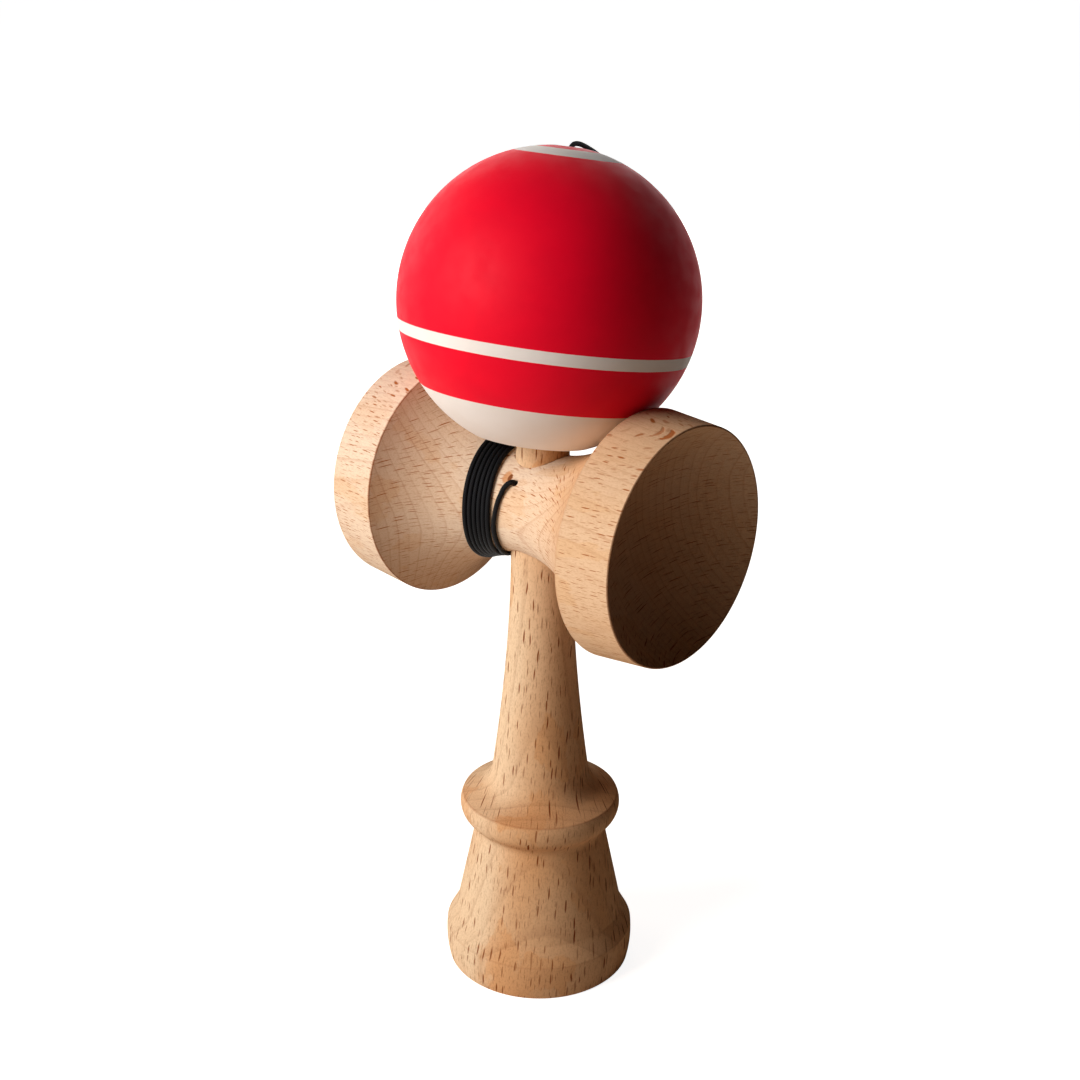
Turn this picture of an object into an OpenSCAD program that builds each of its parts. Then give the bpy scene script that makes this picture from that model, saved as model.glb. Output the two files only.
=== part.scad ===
// Kendama: a turned handle (ken) with a cup in its foot and a spike on top, a crosspiece with two
// cups (sarado) driven onto the handle's taper, and a drilled ball (tama) that stands on the spike.
// A string is wound round the crosspiece and runs up behind the ball to a bead inside it.
// Millimetres. +Z is up, the handle's axis is Z, the crosspiece lies along X, and the origin is the
// middle of the foot's rim on the table.

/* [Ken] */
// Height of the ken from the rim of its foot to the tip of its spike
ken_h = 156; // [153:0.5:157]
// Widest radius of the foot
foot_r = 20.75; // [20.5:0.05:21]
// Radius of the round that the foot's side follows
foot_round = 24; // [20:0.5:28]
// Height of the crease on the foot
foot_h = 8.2; // [8:0.1:8.5]
// Height where the skirt starts, over the foot's shoulder
skirt_z = 12.2; // [12:0.1:12.5]
// Radius of the skirt at its lower end
skirt_r = 18.35; // [18:0.05:18.6]
// Height of the groove under the collar
groove_z = 33.1; // [32.5:0.1:33.5]
// Radius of the skirt at the groove
groove_r = 14; // [13.8:0.1:14.2]
// Widest radius of the collar
collar_r = 17.4; // [17.2:0.1:17.6]
// Radius of the round that the collar's side follows
collar_round = 4.4; // [4.2:0.1:4.6]
// Height of the sharp edge on top of the collar
collar_z = 40.5; // [40.2:0.1:40.8]
// Radius of the hollow round between the collar and the grip
flare_r = 6; // [5:0.5:6.5]
// Height where the grip leaves that round
grip_z = 46.4; // [46:0.1:47]
// Radius of the grip there
grip_r = 10.45; // [10.2:0.05:10.6]
// Radius of the grip under the crosspiece, where the taper starts
neck_r = 6.45; // [6.3:0.01:6.6]
// Radius of the spike over the crosspiece, where the taper ends
spike_r = 5.45; // [5.3:0.01:5.5]
// Radius of the spike's round tip
tip_r = 2.6; // [2:0.1:3]
// Radius of the mouth of the cup in the foot
base_cup_r = 17.6; // [16:0.1:18]
// Depth of the cup in the foot
base_cup_depth = 8.5; // [6:0.1:9]

/* [Sarado] */
// Height of the crosspiece's axis
sarado_z = 107.1; // [106:0.1:108]
// Width of the crosspiece, from rim to rim
sarado_w = 73.6; // [70:0.1:76]
// Outer radius of both cups at the rim
rim_r = 24.15; // [23.8:0.05:24.5]
// Radius of the sharp edge between each cup's band and its back
arris_r = 25.15; // [24.8:0.05:25.4]
// Radius of the waist
waist_r = 10.85; // [10.5:0.05:11.2]
// Radius of the hollow round between the two cups
cove_r = 29.2; // [28.8:0.1:29.6]
// Radius of the big cup's mouth
big_cup_r = 23.5; // [22:0.1:23.6]
// Depth of the big cup
big_cup_depth = 15; // [12:0.1:16]
// Radius of the small cup's mouth
small_cup_r = 20.8; // [18:0.1:22]
// Depth of the small cup
small_cup_depth = 12.5; // [10:0.1:14]

/* [Tama] */
// Radius of the ball
tama_r = 30; // [29.8:0.1:30.2]
// Height of the ball's centre
tama_z = 149.1; // [149:0.1:149.7]
// Distance of the ball's centre behind the handle's axis
tama_y = 1.55; // [1.4:0.05:1.7]
// Angle that the ball leans to the back at rest
lean = 10.5; // [10:0.1:10.8]
// Radius of the hole for the spike
hole_r = 10.4; // [10.3:0.1:11]
// Radius of the hole's bevelled mouth
mouth_r = 11.9; // [11.6:0.1:12.6]
// Height of the hole's end over the ball's centre
hole_end = 13; // [12:0.1:13.5]
// Radius of the bead
bead_r = 4; // [3.8:0.1:4.1]

/* [String] */
// Diameter of the string
string_d = 1; // [0.9:0.05:1]
// Turns round the crosspiece that show in front
turns = 6; // [4:1:7]
// Step from one turn to the next
pitch = 1.45; // [1.45:0.01:1.5]

/* [Hidden] */
$fn = 128;
// How far a cutting shape runs past the face that it cuts
cut = 1;

// Ken: outline
// Height of the foot's widest place
foot_mid = 5.6;
foot_chamfer = 0.4;
// Flat step left on the foot's crease and on top of the collar's edge
edge_flat = 0.3;
collar_mid = 38.3;
collar_core_r = collar_r - collar_round;
collar_edge_r = collar_core_r + sqrt(collar_round ^ 2 - (collar_z - collar_mid) ^ 2);
// Angle below the level at which the round of the collar's side starts
collar_from = 44;
collar_low = [collar_core_r + collar_round * cos(collar_from), collar_mid - collar_round * sin(collar_from)];
// Slope of the collar's top where the hollow round starts
collar_slope = 24.5;
neck_z = 96;
spike_z = 119;
grip_steps = 8;
grip_power = 1.8;
grip_lean = atan(grip_power * (grip_r - neck_r) / (neck_z - grip_z));
flare_steps = 6;
base_cup_sphere = (base_cup_r ^ 2 + base_cup_depth ^ 2) / (2 * base_cup_depth);

// Radius of the foot's side at a height
function foot_side(z) = foot_r - foot_round + sqrt(foot_round ^ 2 - (z - foot_mid) ^ 2);

// Radius of the grip at a height between its two ends
function grip_radius(z) =
    neck_r + (grip_r - neck_r) * ((neck_z - z) / (neck_z - grip_z)) ^ grip_power;

// Sarado: outline, bore and string hole
half_w = sarado_w / 2;
rim_chamfer = 0.4;
arris_x = sqrt(cove_r ^ 2 - (waist_r + cove_r - arris_r) ^ 2);
bore_gap = 0.05;
bore_from = 93;
bore_to = 121;
string_hole_r = 0.9;
string_hole_angle = 51;
knot_pocket_r = 2.1;
knot_pocket_z = 111.2;
knot_r = 1.6;
anchor_knot_y = -2.2;

// Radius of the taper at any height, for the ken's neck and the sarado's bore
function taper_radius(z) = neck_r + (spike_r - neck_r) * (z - neck_z) / (spike_z - neck_z);

// Radius of the sphere that makes a cup of a given mouth and depth
function cup_sphere(mouth, depth) = (mouth ^ 2 + depth ^ 2) / (2 * depth);

// Tama: hole, bead chamber and string hole, as heights over the ball's centre
bead_gap = 0.5;
bead_chamber_r = bead_r + bead_gap;
bead_chamber_end = 21;
bead_l = bead_chamber_end - bead_r - bead_gap;
bead_hole_r = 0.8;
tama_string_hole_r = 1.5;
countersink_r = 2.6;
bead_knot_l = 10.8;
mouth_l = -sqrt(tama_r ^ 2 - mouth_r ^ 2);

// Places the hole's own upright frame at the ball's centre and leans it to the back
module on_tama_axis() {
    translate([0, tama_y, tama_z]) rotate([-lean, 0, 0]) children();
}

// String: sizes of the winding
string_r = string_d / 2;
seat = 0.1;
loop_sides = 6;
loop_rings = 24;
cord_sides = 8;
turn_0_x = -4.6;
front = 90;
bow_top = 1.9;
bow_bottom = 3.6;
winding_from = 180;
winding_to = 270 + 360 * turns;
body_gap = 0.3;

// Radius of the cove at a place along the sarado
function cove_radius(x) = waist_r + cove_r - sqrt(cove_r ^ 2 - x ^ 2);

// The winding leans away from the ken over the top and under the bottom, to pass beside it.
// The angle runs from the top to the front, the bottom and the back.
function bow(a) = (cos(a) > 0 ? bow_top : bow_bottom) * cos(a) ^ 2;
function winding_x(a) = turn_0_x - pitch * (a - front - 360) / 360 - bow(a);
function radial(a) = [0, -sin(a), cos(a)];
function winding_point(a) =
    let (x = winding_x(a), r = cove_radius(x) + string_r + seat)
    [x, 0, sarado_z] + r * radial(a);
function unit(v) = v / norm(v);
function winding_heading(a) = unit(winding_point(a + 1) - winding_point(a - 1));

winding_step = 360 / loop_rings;
winding_turned = [for (a = [winding_from : winding_step : winding_to]) winding_point(a)];
winding_start = winding_turned[0] - string_d * winding_heading(winding_from);
winding_end = winding_turned[len(winding_turned) - 1] + string_d * winding_heading(winding_to);
winding_route = [winding_start, each winding_turned, winding_end];
winding_normals = [radial(winding_from), for (a = [winding_from : winding_step : winding_to]) radial(a),
                   radial(winding_to)];

// The lead: from the knot in the ken, out of the hole in the sarado and down its front. Each point
// gives the place along X, the angle from the top and the height over the string's seat on the cove.
lead_lies = [[0, 41, -6], [0, 48, -4.6], [0, 51, -2.6], [0, 51, -0.8], [-0.1, 51.5, 0.4],
             [-0.5, 53.5, 0.9], [-1.1, 57, 0.8], [-1.6, 62, 0.4], [-1.9, 67.5, 0.1], [-2.2, 74, 0],
             [-2.5, 83, 0], [-2.8, 92, 0], [-3.2, 101.5, 0], [-3.5, 111, 0], [-3.8, 121, 0],
             [-4.2, 131, 0], [-4.8, 141, 0], [-5.5, 151, 0], [-6.2, 161, 0], [-6.8, 169.5, 0]];
function on_cove(p) =
    [p[0], 0, sarado_z] + (cove_radius(p[0]) + string_r + seat + p[2]) * radial(p[1]);
lead_route = [for (p = lead_lies) on_cove(p), winding_start];

// The run: from the last turn up to the back of the ball, whose points are given from its centre
run_lies = [[-7, 24.2, -18.4], [-5.7, 27, -13.9], [-4.5, 29.1, -9.4], [-3.5, 30.3, -4.8], [-2.8, 30.8, 0.1]];
run_route = [winding_end + [0, 0, body_gap], [-12.4, 14.9, 111.4], [-11.6, 16.3, 114.8],
             [-10.6, 18.1, 118.5], [-9.5, 20.3, 122.4], [-8.3, 22.9, 126.6],
             for (p = run_lies) [p[0], tama_y + p[1], tama_z + p[2]]];

// The last stretch lies on the ball, up its back, over the top and down its hole. Each point gives
// the angle from the top of the ball, the place along X and the height of the string's middle over
// the ball.
over_lies = [[89.2, -2.8, 0.7], [84, -2.7, 0.7], [78, -2.5, 0.7], [72, -2.3, 0.7], [66, -2.1, 0.7],
             [60, -1.9, 0.7], [54, -1.7, 0.7], [48, -1.5, 0.7], [42, -1.3, 0.7], [36.5, -1.1, 0.7],
             [31.5, -0.9, 0.7], [27, -0.7, 0.7], [23, -0.5, 0.7], [19.5, -0.3, 0.8], [16, -0.2, 0.8],
             [13.2, -0.1, 0.5], [11.4, 0, -0.4]];
over_drop = [for (l = [28.5 : -2.5 : 13.5]) l];
bead_knot_top = 12;
function on_ball(p) =
    let (r = sqrt((tama_r + p[2]) ^ 2 - p[1] ^ 2))
    [p[1], tama_y + r * sin(p[0]), tama_z + r * cos(p[0])];
function on_axis(l) = [0, tama_y + l * sin(lean), tama_z + l * cos(lean)];
over_route = [for (p = over_lies) on_ball(p), for (l = over_drop) on_axis(l), on_axis(bead_knot_top)];

// Least gap between the winding's turns, measured on its middle line
winding_gaps = [for (i = [0 : len(winding_turned) - 1])
                for (j = [i + loop_rings / 2 : len(winding_turned) - 1])
                norm(winding_turned[i] - winding_turned[j]) - string_d];
echo(least_gap_between_turns = min(winding_gaps));

// Length of a route
function route_length(p) = let (steps = [for (i = [1 : len(p) - 1]) norm(p[i] - p[i - 1])])
    steps * [for (s = steps) 1];
echo(string_length = route_length(lead_route) + route_length(winding_route) + route_length(run_route)
                     + route_length(over_route));

// A closed tube of round section swept along a route. Each ring's first corner points along its normal.
module tube(route, normals, radius, sides) {
    last = len(route) - 1;
    headings = [for (i = [0 : last]) unit(route[min(i + 1, last)] - route[max(i - 1, 0)])];
    rings = [for (i = [0 : last])
             let (t = headings[i], u = unit(normals[i] - (normals[i] * t) * t), v = cross(t, u))
             for (k = [0 : sides - 1])
             let (a = 360 * k / sides)
             route[i] + radius * (cos(a) * u + sin(a) * v)];
    walls = [for (i = [0 : last - 1]) for (k = [0 : sides - 1])
             let (a = i * sides + k, b = i * sides + (k + 1) % sides)
             each [[a, a + sides, b], [b, a + sides, b + sides]]];
    first_cap = [for (k = [1 : sides - 2]) [0, k, k + 1]];
    last_cap = [for (k = [1 : sides - 2]) [last * sides, last * sides + k + 1, last * sides + k]];
    polyhedron(rings, concat(walls, first_cap, last_cap));
}

// A stretch of string along points chosen by hand
module cord(route) {
    color("#1c1b1d") tube(route, [for (p = route) [1, 0, 0]], string_r, cord_sides);
}

// Outline of the ken, turned about its axis
module ken_outline() {
    intersection() {
        translate([foot_r - foot_round, foot_mid]) circle(foot_round);
        square([foot_r, foot_h]);
    }
    polygon([[0, foot_h], [foot_side(foot_h) - edge_flat, foot_h], [skirt_r, skirt_z], [groove_r, groove_z],
             collar_low, [0, collar_low[1]]]);
    translate([0, collar_low[1]]) square([collar_core_r, collar_z - collar_low[1]]);
    intersection() {
        translate([collar_core_r, collar_mid]) circle(collar_round);
        translate([0, collar_low[1]]) square([collar_r, collar_z - collar_low[1]]);
    }
    flare_mid = [grip_r, grip_z] + flare_r * [cos(grip_lean), sin(grip_lean)];
    flare = [for (i = [0 : flare_steps - 1])
             let (share = i / flare_steps, a = (270 - collar_slope) * (1 - share) + (180 + grip_lean) * share)
             flare_mid + flare_r * [cos(a), sin(a)]];
    grip = [for (i = [0 : grip_steps])
            let (z = grip_z + (neck_z - grip_z) * i / grip_steps)
            [grip_radius(z), z]];
    polygon([[0, collar_z], [collar_edge_r - edge_flat, collar_z], each flare, each grip, [spike_r, spike_z],
             [tip_r, ken_h - tip_r], [0, ken_h - tip_r]]);
    intersection() {
        translate([0, ken_h - tip_r]) circle(tip_r);
        translate([0, ken_h - tip_r]) square(tip_r);
    }
}

module ken() {
    color("#dcb487") difference() {
        rotate_extrude() difference() {
            ken_outline();
            polygon([[foot_side(0) - foot_chamfer, 0], [foot_side(0) + cut, 0],
                     [foot_side(0) + cut, foot_chamfer + cut]]);
        }
        translate([0, 0, base_cup_depth - base_cup_sphere]) sphere(base_cup_sphere);
        translate([0, 0, knot_pocket_z]) rotate([90, 0, 0]) cylinder(h = 2 * neck_r, r = knot_pocket_r);
    }
}

// Outline of the sarado, turned about its own axis
module sarado_outline() {
    difference() {
        polygon([[0, -half_w], [rim_r - rim_chamfer, -half_w], [rim_r, -half_w + rim_chamfer],
                 [arris_r, -arris_x], [arris_r, arris_x],
                 [rim_r, half_w - rim_chamfer], [rim_r - rim_chamfer, half_w], [0, half_w]]);
        translate([waist_r + cove_r, 0]) circle(cove_r);
    }
}

module sarado() {
    big = cup_sphere(big_cup_r, big_cup_depth);
    small = cup_sphere(small_cup_r, small_cup_depth);
    color("#e3bd90") difference() {
        translate([0, 0, sarado_z]) rotate([0, 90, 0]) rotate_extrude() sarado_outline();
        translate([half_w - big_cup_depth + big, 0, sarado_z]) sphere(big);
        translate([-half_w + small_cup_depth - small, 0, sarado_z]) sphere(small);
        translate([0, 0, bore_from])
            cylinder(h = bore_to - bore_from, r1 = taper_radius(bore_from) + bore_gap,
                     r2 = taper_radius(bore_to) + bore_gap);
        translate([0, 0, sarado_z]) rotate([string_hole_angle, 0, 0])
            cylinder(h = 2 * waist_r, r = string_hole_r);
    }
}

module tama() {
    color("#cf1126") on_tama_axis() difference() {
        sphere(tama_r);
        translate([0, 0, -tama_r - cut]) cylinder(h = tama_r + cut + hole_end, r = hole_r);
        translate([0, 0, mouth_l - cut])
            cylinder(h = mouth_r - hole_r + cut, r1 = mouth_r + cut, r2 = hole_r);
        cylinder(h = bead_chamber_end, r = bead_chamber_r);
        cylinder(h = tama_r + cut, r = tama_string_hole_r);
        translate([0, 0, tama_r - countersink_r + tama_string_hole_r])
            cylinder(h = countersink_r, r1 = tama_string_hole_r, r2 = tama_string_hole_r + countersink_r);
    }
}

module tama_bead() {
    color("#e8e2d4") on_tama_axis() translate([0, 0, bead_l]) difference() {
        sphere(bead_r);
        cylinder(h = 3 * bead_r, r = bead_hole_r, center = true);
    }
}

module bead_knot() {
    color("#1c1b1d") on_tama_axis() translate([0, 0, bead_knot_l]) sphere(knot_r);
}

module anchor_knot() {
    color("#1c1b1d") translate([0, anchor_knot_y, knot_pocket_z]) sphere(knot_r);
}

module string_winding() {
    color("#1c1b1d") tube(winding_route, winding_normals, string_r, loop_sides);
}

module string_lead() {
    cord(lead_route);
}

module string_run() {
    cord(run_route);
}

module string_over() {
    cord(over_route);
}

ken();
sarado();
tama();
tama_bead();
bead_knot();
anchor_knot();
string_winding();
string_lead();
string_run();
string_over();
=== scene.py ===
# %% [markdown]
# # A wooden kendama
# A kendama is a turned beech handle (the ken) with a cross-piece (the sarado) driven onto it, and a
# painted ball (the tama) on a string. Here the ball stands on the spike and the string is wound round
# the cross-piece.
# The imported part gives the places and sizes. This lesson turns the wood again with fine edges,
# lays the string, and gives every surface its finish.

# %% Load the frame
import math

import bmesh
import bpy
import numpy as np
from mathutils import Matrix, Vector


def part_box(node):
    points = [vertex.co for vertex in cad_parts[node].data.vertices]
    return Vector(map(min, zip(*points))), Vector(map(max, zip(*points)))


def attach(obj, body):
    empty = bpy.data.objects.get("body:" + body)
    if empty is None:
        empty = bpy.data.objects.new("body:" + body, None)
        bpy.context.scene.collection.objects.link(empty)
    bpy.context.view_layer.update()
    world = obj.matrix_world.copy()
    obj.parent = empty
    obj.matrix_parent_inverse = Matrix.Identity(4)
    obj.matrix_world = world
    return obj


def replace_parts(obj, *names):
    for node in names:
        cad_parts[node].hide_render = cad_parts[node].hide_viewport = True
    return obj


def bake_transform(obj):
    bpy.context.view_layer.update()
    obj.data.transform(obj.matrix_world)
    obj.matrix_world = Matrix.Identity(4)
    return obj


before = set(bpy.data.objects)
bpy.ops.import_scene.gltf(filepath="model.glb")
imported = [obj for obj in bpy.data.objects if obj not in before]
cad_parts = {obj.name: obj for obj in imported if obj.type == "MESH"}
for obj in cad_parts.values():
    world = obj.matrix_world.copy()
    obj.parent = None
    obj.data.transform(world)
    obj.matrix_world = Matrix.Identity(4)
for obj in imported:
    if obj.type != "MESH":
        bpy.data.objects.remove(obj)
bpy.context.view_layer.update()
MM = 0.001
scene = bpy.context.scene
scene.view_settings.view_transform = "Standard"

# %% [markdown]
# ## The camera
# The camera stands to the right of the toy's front and looks down on it, through a long lens.
# Its place was worked out from the ball's outline, the stripe and the cups' rims, so that the picture
# lines up with the toy without any shift of the lens.

# %% Camera
LENS_MM = 55.96
SENSOR_MM = 36
CAMERA_PLACE = (0.2126, -0.2435, 0.2254)
CAMERA_AZIMUTH = 41.2
CAMERA_DOWN = 21.33
CAMERA_ROLL = 0.44


def turned(degrees, axis):
    return Matrix.Rotation(math.radians(degrees), 4, axis)


def add_object(name, data):
    obj = bpy.data.objects.new(name, data)
    scene.collection.objects.link(obj)
    return obj


camera = add_object("camera", bpy.data.cameras.new("camera"))
camera.data.lens = LENS_MM
camera.data.sensor_width = SENSOR_MM
camera.data.clip_start = 0.01
camera.matrix_world = (Matrix.Translation(CAMERA_PLACE) @ turned(CAMERA_AZIMUTH, "Z")
                       @ turned(90 - CAMERA_DOWN, "X") @ turned(CAMERA_ROLL, "Z"))
scene.camera = camera
print("camera at", [round(x, 3) for x in camera.location])

# %% [markdown]
# ## A helper for shader nodes
# Materials are built from nodes. This small class adds nodes to one tree: where an input gets a socket
# it is linked, and where it gets a number or a colour that value is set.

# %% Node helper
class Nodes:
    def __init__(self, tree):
        self.tree = tree

    def fill(self, socket, value):
        if isinstance(value, bpy.types.NodeSocket):
            self.tree.links.new(value, socket)
        else:
            socket.default_value = value

    def add(self, kind, inputs=None, **settings):
        node = self.tree.nodes.new(kind)
        for name, value in settings.items():
            setattr(node, name, value)
        for name, value in (inputs or {}).items():
            self.fill(node.inputs[name], value)
        return node

    def math(self, operation, a, b=0.0, c=0.0, clamp=False):
        node = self.add("ShaderNodeMath", {0: a, 1: b, 2: c}, operation=operation, use_clamp=clamp)
        return node.outputs[0]

    def vector(self, operation, a, b=(0, 0, 0)):
        node = self.add("ShaderNodeVectorMath", {0: a, 1: b}, operation=operation)
        return node.outputs["Value" if operation in ("LENGTH", "DOT_PRODUCT") else "Vector"]

    def xyz(self, x, y, z):
        return self.add("ShaderNodeCombineXYZ", {"X": x, "Y": y, "Z": z}).outputs[0]

    def split(self, vector):
        return self.add("ShaderNodeSeparateXYZ", {"Vector": vector}).outputs

    def ramp(self, value, low, high, to_low=0.0, to_high=1.0):
        node = self.add("ShaderNodeMapRange", {"Value": value, "From Min": low, "From Max": high,
                                               "To Min": to_low, "To Max": to_high},
                        interpolation_type="SMOOTHSTEP")
        return node.outputs["Result"]

    def mix(self, share, a, b):
        node = self.add("ShaderNodeMix", data_type="RGBA")
        self.fill(node.inputs[0], share)
        self.fill(node.inputs[6], a)
        self.fill(node.inputs[7], b)
        return node.outputs[2]

    def noise(self, vector, scale=1.0, detail=2.0):
        node = self.add("ShaderNodeTexNoise", {"Vector": vector, "Scale": scale, "Detail": detail})
        return node.outputs[0]

    def stretched(self, vector, fineness, detail=2.0):
        return self.noise(self.vector("MULTIPLY", vector, fineness), 1.0, detail)


PER_MM = (1 / MM,) * 3


def srgb(red, green, blue):
    """A colour written as 0 to 255, as Blender's linear colour."""
    parts = [value / 255 for value in (red, green, blue)]
    return tuple(p / 12.92 if p < 0.04045 else ((p + 0.055) / 1.055) ** 2.4 for p in parts) + (1.0,)


def new_material(name):
    material = bpy.data.materials.new(name)
    material.use_nodes = True
    material.node_tree.nodes.clear()
    return material, Nodes(material.node_tree)


# %% [markdown]
# ## Light and floor
# The main soft light stands well to the left of the camera, as in a product studio, so each turned shape
# runs from bright to dark. Two weaker ones, on the left and behind, light the far sides. Azimuth 0 is the
# toy's front. The background is white only for what the camera and reflections see, so it sends no light
# onto the toy, and the floor keeps a faint shadow.

# %% Light and floor
AMBIENT = (1.0, 0.5, 0.34, 1.0)
AMBIENT_LEVEL = 0.006
WHITE = (1.0, 1.0, 1.0, 1.0)
AIM = Vector((0, 0, 0.1))


def softbox(name, azimuth, elevation, distance, size, watts):
    lamp = bpy.data.lights.new(name, "AREA")
    lamp.shape = "SQUARE"
    lamp.size = size
    lamp.energy = watts
    obj = add_object(name, lamp)
    a, e = math.radians(azimuth), math.radians(elevation)
    back = Vector((math.sin(a) * math.cos(e), -math.cos(a) * math.cos(e), math.sin(e)))
    obj.location = AIM + distance * back
    obj.rotation_mode = "QUATERNION"
    obj.rotation_quaternion = back.to_track_quat("Z", "Y")


softbox("key_light", azimuth=-22, elevation=24, distance=0.8, size=0.5, watts=7.6)
softbox("left_light", azimuth=-90, elevation=15, distance=0.9, size=0.5, watts=1.3)
softbox("back_light", azimuth=221, elevation=10, distance=0.9, size=0.6, watts=2.0)


def seen(nodes):
    """1 for rays from the camera, a reflection or glass, and 0 for the rest."""
    path = nodes.add("ShaderNodeLightPath").outputs
    both = nodes.math("MAXIMUM", path["Is Camera Ray"], path["Is Glossy Ray"])
    return nodes.math("MAXIMUM", both, path["Is Transmission Ray"])


world = bpy.data.worlds.new("studio")
world.use_nodes = True
world.node_tree.nodes.clear()
sky = Nodes(world.node_tree)
ambient = sky.add("ShaderNodeBackground", {"Color": AMBIENT, "Strength": AMBIENT_LEVEL})
backdrop = sky.add("ShaderNodeBackground", {"Color": WHITE, "Strength": 1.0})
both = sky.add("ShaderNodeMixShader", {0: seen(sky), 1: ambient.outputs[0], 2: backdrop.outputs[0]})
sky.add("ShaderNodeOutputWorld", {"Surface": both.outputs[0]})
scene.world = world

FLOOR_SIZE = 12.0
FLOOR_COLOR = (0.74, 0.64, 0.55, 1.0)
SHADOW_WHITE = 0.9
SHADOW_REACH = (0.05, 0.4)

bpy.ops.mesh.primitive_plane_add(size=FLOOR_SIZE)
floor = bpy.context.object
floor.name = "floor"
floor_material, nodes = new_material("floor_white")
away = nodes.vector("LENGTH", nodes.add("ShaderNodeTexCoord").outputs["Object"])
level = nodes.ramp(away, *SHADOW_REACH, SHADOW_WHITE, 1.0)
strength = nodes.math("MULTIPLY", level, seen(nodes))
glow = nodes.add("ShaderNodeEmission", {"Color": WHITE, "Strength": strength})
matt = nodes.add("ShaderNodeBsdfDiffuse", {"Color": FLOOR_COLOR})
sum_of_both = nodes.add("ShaderNodeAddShader", {0: glow.outputs[0], 1: matt.outputs[0]})
nodes.add("ShaderNodeOutputMaterial", {"Surface": sum_of_both.outputs[0]})
floor.data.materials.append(floor_material)
print("floor and lights made")

# %% [markdown]
# ## The lengths of string
# The string comes out of a hole in front of the cross-piece, makes six turns beside the handle, and runs up
# behind the ball to the hole in its top. The free stretches follow listed points, as on the imported
# part. LEAD_LIES has x, the angle round the cross-piece and the lift over its wood. OVER_LIES has the
# angle on the ball, x and the height over its paint. The turns follow a rule: each steps a little further
# from the handle than the last, and leans away from it over the top and under the bottom. All is in
# millimetres and degrees.

# %% String routes
SARADO_Z = 107.1
WAIST_R = 10.85
COVE_R = 29.2
TAMA_Y = 1.55
TAMA_Z = 149.1
TAMA_R = 30.0
LEAN = 10.5
STRING_D = 1.0
SEAT = 0.02
TURNS = 6
PITCH = 1.03
FIRST_TURN_X = -4.5
BOW_TOP = (1.75, 1.35)
BOW_BOTTOM = (3.2, 2.1)
TURN_STEP = 10
WOUND_FROM = 180
WOUND_TO = 270 + 360 * TURNS

LEAD_LIES = [(0, 41, -6), (0, 48, -4.6), (0, 51, -2.6), (0, 51, -1.0), (-0.1, 51.5, -0.1), (-0.5, 53.5, 0.3),
             (-1.1, 57, 0.3), (-1.6, 62, 0.15), (-1.9, 67.5, 0), (-2.2, 74, 0), (-2.5, 83, 0), (-2.8, 92, 0),
             (-3.2, 101.5, 0), (-3.5, 111, 0), (-3.8, 121, 0), (-4.2, 131, 0), (-4.8, 141, 0), (-5.5, 151, 0),
             (-6.2, 161, 0), (-6.8, 170, 0)]
RUN = [(-10.5, 14.9, 111.4), (-10.7, 16.3, 114.8), (-10.3, 18.1, 118.5), (-9.5, 20.3, 122.4),
       (-8.3, 22.9, 126.6)]
RUN_BEHIND_BALL = [(-7, 24.2, -18.4), (-5.7, 27, -13.9), (-4.5, 29.1, -9.4), (-3.5, 30.3, -4.8),
                   (-2.8, 30.7, 0.1), (-2.75, 30.65, 0.9)]
OVER_LIES = [(89.5, -2.8, 0.7), (84, -2.7, 0.7), (78, -2.5, 0.7), (72, -2.3, 0.7), (66, -2.1, 0.7),
             (60, -1.9, 0.7), (54, -1.7, 0.7), (48, -1.5, 0.7), (42, -1.3, 0.7), (36.5, -1.1, 0.7),
             (31.5, -0.9, 0.7), (27, -0.7, 0.7), (23, -0.5, 0.7), (19.5, -0.3, 0.75), (16, -0.2, 0.75),
             (13.2, -0.1, 0.45), (11.4, 0, -0.4)]
OVER_DROP = (28.5, 26, 23.5, 21, 18.5, 16, 13.5, 12)


def cove_radius(x):
    return WAIST_R + COVE_R - math.sqrt(COVE_R ** 2 - x ** 2)


def on_cove(x, angle, lift=0.0):
    """A point of the string over the cove. The angle runs from the top to the front, bottom and back."""
    a = math.radians(angle)
    reach = cove_radius(x) + STRING_D / 2 + SEAT + lift
    return (x, -reach * math.sin(a), SARADO_Z + reach * math.cos(a))


def turn_point(angle):
    turn = (angle - 90 - 360) / 360
    share = min(max(turn / (TURNS - 1), 0), 1)
    across = math.cos(math.radians(angle))
    bow = BOW_TOP if across > 0 else BOW_BOTTOM
    lean = (bow[0] + (bow[1] - bow[0]) * share) * across ** 2
    return on_cove(FIRST_TURN_X - PITCH * turn - lean, angle)


def on_ball(angle, x, height):
    a = math.radians(angle)
    reach = math.sqrt((TAMA_R + height) ** 2 - x ** 2)
    return (x, TAMA_Y + reach * math.sin(a), TAMA_Z + reach * math.cos(a))


def on_tama_axis(along):
    a = math.radians(LEAN)
    return (0, TAMA_Y + along * math.sin(a), TAMA_Z + along * math.cos(a))


wound = [turn_point(angle) for angle in range(WOUND_FROM, WOUND_TO + 1, TURN_STEP)]
behind = [(x, TAMA_Y + y, TAMA_Z + z) for x, y, z in RUN_BEHIND_BALL]
lower_points = [on_cove(*p) for p in LEAD_LIES] + wound + RUN + behind
upper_points = [on_ball(*p) for p in OVER_LIES] + [on_tama_axis(along) for along in OVER_DROP]
print("string points:", len(lower_points), len(upper_points))

# %% [markdown]
# A curve through the points keeps the string smooth, and even steps along it give rings of one size.
# Each ring is turned as little as possible against the last, so the tube doesn't twist, and its UV
# map counts turns of the braid along the string and strands round it.

# %% String tubes
STRING_STEP = 0.3
STRING_SIDES = 12
SPLINE_STEPS = 12
NOT_AHEAD = (0.3, 0.5, 0.8)


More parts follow.
